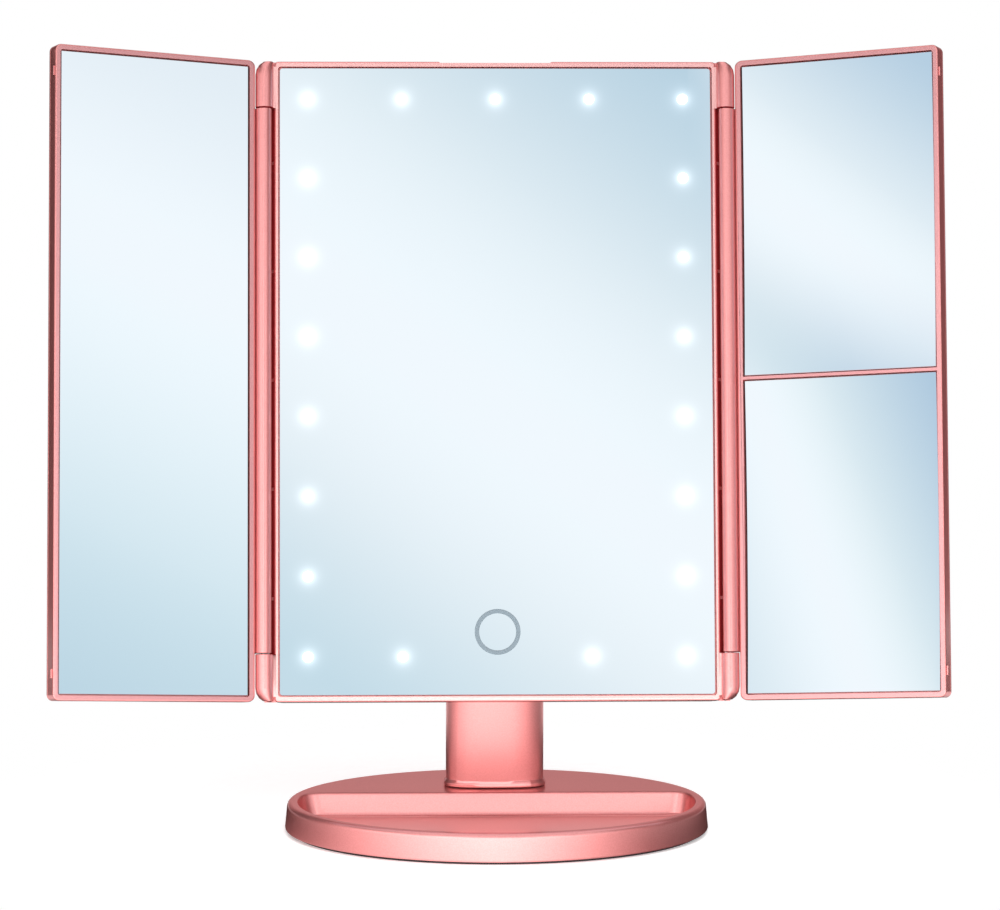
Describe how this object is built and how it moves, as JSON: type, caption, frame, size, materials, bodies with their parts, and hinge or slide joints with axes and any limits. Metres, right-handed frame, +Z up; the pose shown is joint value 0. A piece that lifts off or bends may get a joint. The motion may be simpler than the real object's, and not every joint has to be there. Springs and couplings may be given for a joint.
{
  "type": "vanity mirror",
  "caption": "Folding light-up vanity mirror: tilting centre mirror with frosted light windows and a touch ring, two swinging wings, one split into magnifying plates, oval base with a tray.",
  "frame": {"origin": "middle of the underside of the oval base, on the table", "axes": "+X to the viewer's right along the opened wings, -Y towards the viewer, +Z up"},
  "size_m": [0.3342, 0.1204, 0.2985],
  "materials": {
    "rose_paint": "satin metallic rose paint",
    "mirror_glass": "polished, silvered behind",
    "steel": "plated",
    "battery_sleeve": "plain sleeve",
    "light_board": "white circuit board",
    "power_board": "green circuit board",
    "socket_shell": "tinned sheet",
    "switch_plastic": "black",
    "contact_plate": "nickel plated",
    "nut_brass": "plain",
    "nylon": "natural",
    "cover_plastic": "moulded",
    "ballast_steel": "raw",
    "pad_rubber": "matte foam"
  },
  "bodies": {
    "stand": {"neck_column": "rose_paint", "base_top_shell": "rose_paint", "base_bottom_cover": "cover_plastic", "ballast_plate": "ballast_steel", "anti_slip_pad": "pad_rubber", "neck_screw_1": "steel", "neck_screw_2": "steel", "base_screw_1": "steel", "base_screw_2": "steel", "base_screw_3": "steel", "base_screw_4": "steel"},
    "left_wing": {"left_wing_frame": "rose_paint", "left_wing_back_cover": "rose_paint", "left_wing_glass": "mirror_glass"},
    "right_wing": {"right_wing_frame": "rose_paint", "right_wing_back_cover": "rose_paint", "right_wing_upper_glass": "mirror_glass", "right_wing_lower_glass": "mirror_glass"},
    "power_knob": {"power_switch_knob": "switch_plastic"},
    "battery_lid": {"battery_door": "rose_paint"},
    "head": {"head_front_frame": "rose_paint", "head_rear_cover": "rose_paint", "tilt_cap_left": "rose_paint", "tilt_cap_right": "rose_paint", "centre_mirror_glass": "mirror_glass", "cover_screw_1": "steel", "cover_screw_2": "steel", "cover_screw_3": "steel", "cover_screw_4": "steel", "cover_screw_5": "steel", "cover_screw_6": "steel", "hinge_pin_left_lower": "steel", "hinge_pin_left_upper": "steel", "hinge_pin_right_lower": "steel", "hinge_pin_right_upper": "steel", "tilt_shaft": "steel", "battery_cell_1": "battery_sleeve", "battery_cell_2": "battery_sleeve", "battery_cell_3": "battery_sleeve", "battery_cell_4": "battery_sleeve", "light_strip_left": "light_board", "light_strip_right": "light_board", "light_strip_top": "light_board", "touch_light_board": "light_board", "power_board": "power_board", "usb_socket": "socket_shell", "power_switch_body": "switch_plastic", "battery_contact_lower": "contact_plate", "battery_contact_upper": "contact_plate", "tilt_nut": "nut_brass", "tilt_washer_left": "nylon", "tilt_washer_right": "nylon"}
  },
  "joints": [
    {"name": "head_tilt", "type": "hinge", "parent": "stand", "child": "head", "pos_m": [0, 0.0285, 0.092], "axis": [-1, 0, 0], "range_deg": [-15, 78]},
    {"name": "left_wing_swing", "type": "hinge", "parent": "head", "child": "left_wing", "pos_m": [-0.088, 0.01238, 0.17178], "axis": [0, 0.2113, 0.9774], "range_deg": [-26, 154]},
    {"name": "right_wing_swing", "type": "hinge", "parent": "head", "child": "right_wing", "pos_m": [0.088, 0.01238, 0.17178], "axis": [0, -0.2113, -0.9774], "range_deg": [-26, 154]},
    {"name": "power_slide", "type": "slide", "parent": "head", "child": "power_knob", "axis": [1, 0, 0], "range_m": [0, 0.002]},
    {"name": "battery_door_lift", "type": "slide", "parent": "head", "child": "battery_lid", "axis": [0, 0.9774, -0.2113], "range_m": [0, 0.03]}
  ]
}
